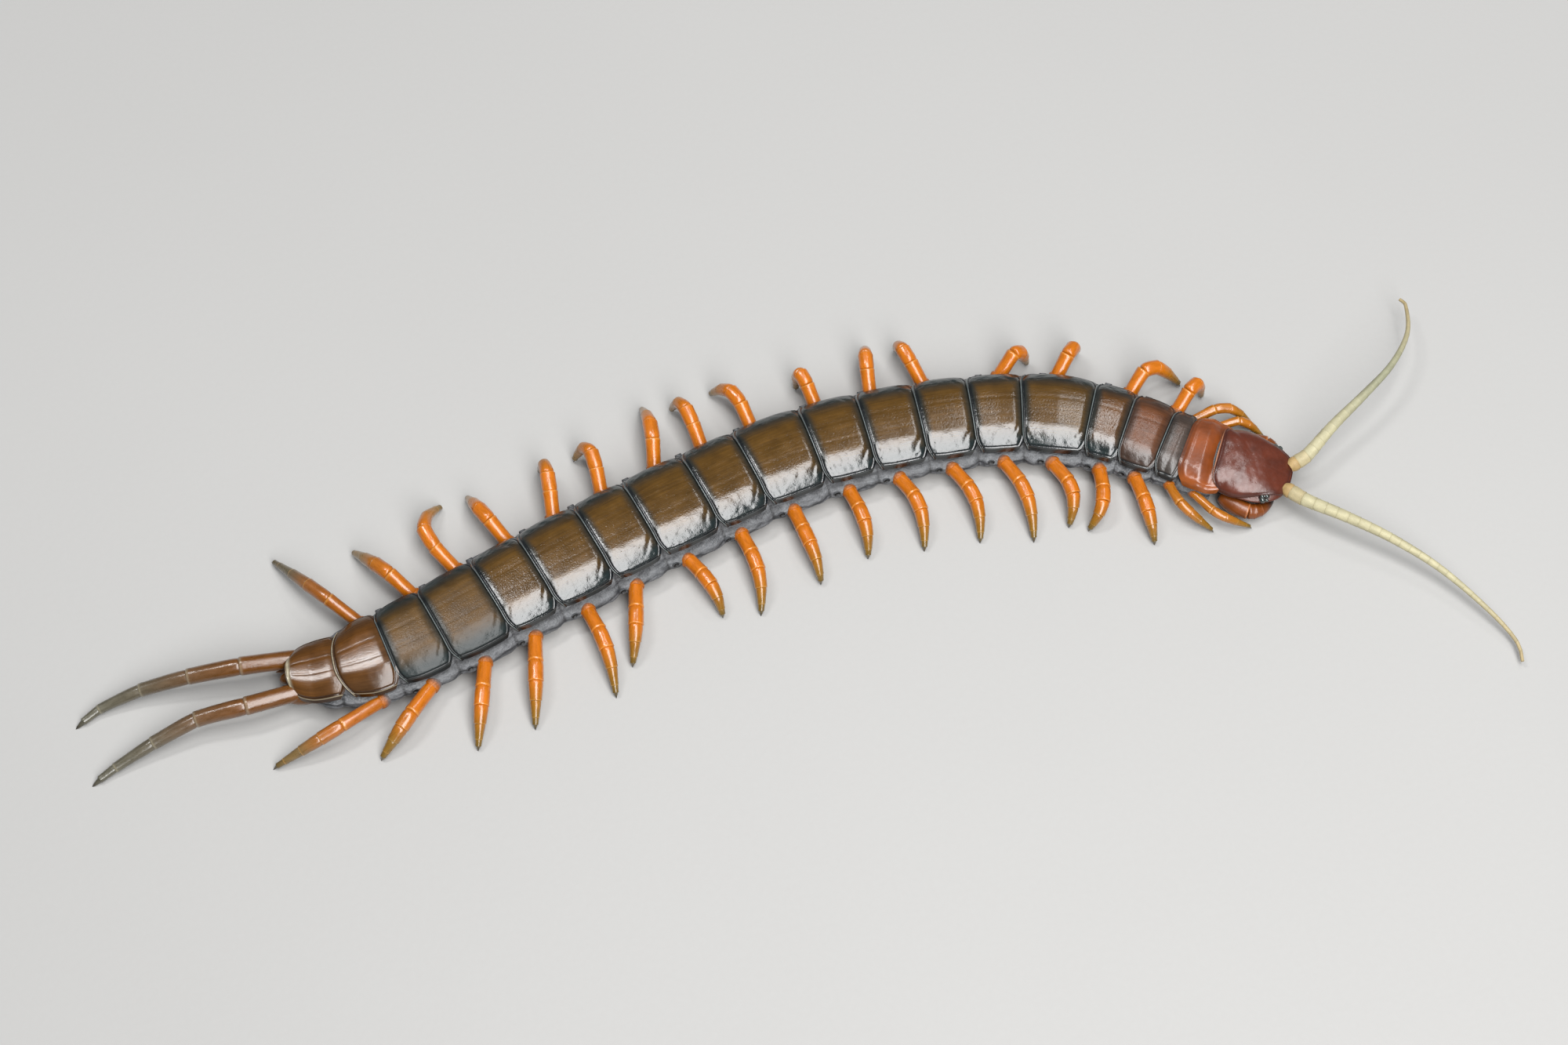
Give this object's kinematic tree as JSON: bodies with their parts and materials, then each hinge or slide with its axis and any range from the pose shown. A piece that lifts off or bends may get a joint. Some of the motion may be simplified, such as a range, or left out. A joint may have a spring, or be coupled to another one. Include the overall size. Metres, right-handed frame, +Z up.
{
  "type": "giant centipede model",
  "caption": "Still life-size giant centipede: curved flat body under overlapping back plates, splayed legs, long antennae, poison claws and trailing last legs.",
  "frame": {"origin": "middle of the whole model's box, on the floor that the leg tips stand on", "axes": "+X towards the head along the body's chord, +Y to the animal's left, +Z up"},
  "size_m": [0.2374, 0.0831, 0.0093],
  "materials": {
    "plate": "glossy olive-brown horn with blue-black margins",
    "head_shell": "very glossy deep red-brown horn",
    "poison_claw": "glossy orange-brown horn, darker tips",
    "leg": "satin orange, yellow-olive towards the tips",
    "trailing_leg": "satin brown-orange turning grey-olive",
    "antenna": "pale cream, finely hairy",
    "eye": "glossy dark grey-green beads"
  },
  "bodies": {
    "root": {"antenna_left": "antenna", "antenna_right": "antenna", "eye_left": "eye", "eye_right": "eye", "forcipule_left": "poison_claw", "forcipule_plate": "head_shell", "forcipule_right": "poison_claw", "head": "head_shell", "leg_left_01": "leg", "leg_left_02": "leg", "leg_left_03": "leg", "leg_left_04": "leg", "leg_left_05": "leg", "leg_left_06": "leg", "leg_left_07": "leg", "leg_left_08": "leg", "leg_left_09": "leg", "leg_left_10": "leg", "leg_left_11": "leg", "leg_left_12": "leg", "leg_left_13": "leg", "leg_left_14": "leg", "leg_left_15": "leg", "leg_left_16": "leg", "leg_left_17": "leg", "leg_left_18": "leg", "leg_left_19": "trailing_leg", "leg_right_01": "leg", "leg_right_02": "leg", "leg_right_03": "leg", "leg_right_04": "leg", "leg_right_05": "leg", "leg_right_06": "leg", "leg_right_07": "leg", "leg_right_08": "leg", "leg_right_09": "leg", "leg_right_10": "leg", "leg_right_11": "leg", "leg_right_12": "leg", "leg_right_13": "leg", "leg_right_14": "leg", "leg_right_15": "leg", "leg_right_16": "leg", "leg_right_17": "leg", "leg_right_18": "leg", "leg_right_19": "trailing_leg", "trunk_01": "plate", "trunk_02": "plate", "trunk_03": "plate", "trunk_04": "plate", "trunk_05": "plate", "trunk_06": "plate", "trunk_07": "plate", "trunk_08": "plate", "trunk_09": "plate", "trunk_10": "plate"}
  },
  "joints": []
}
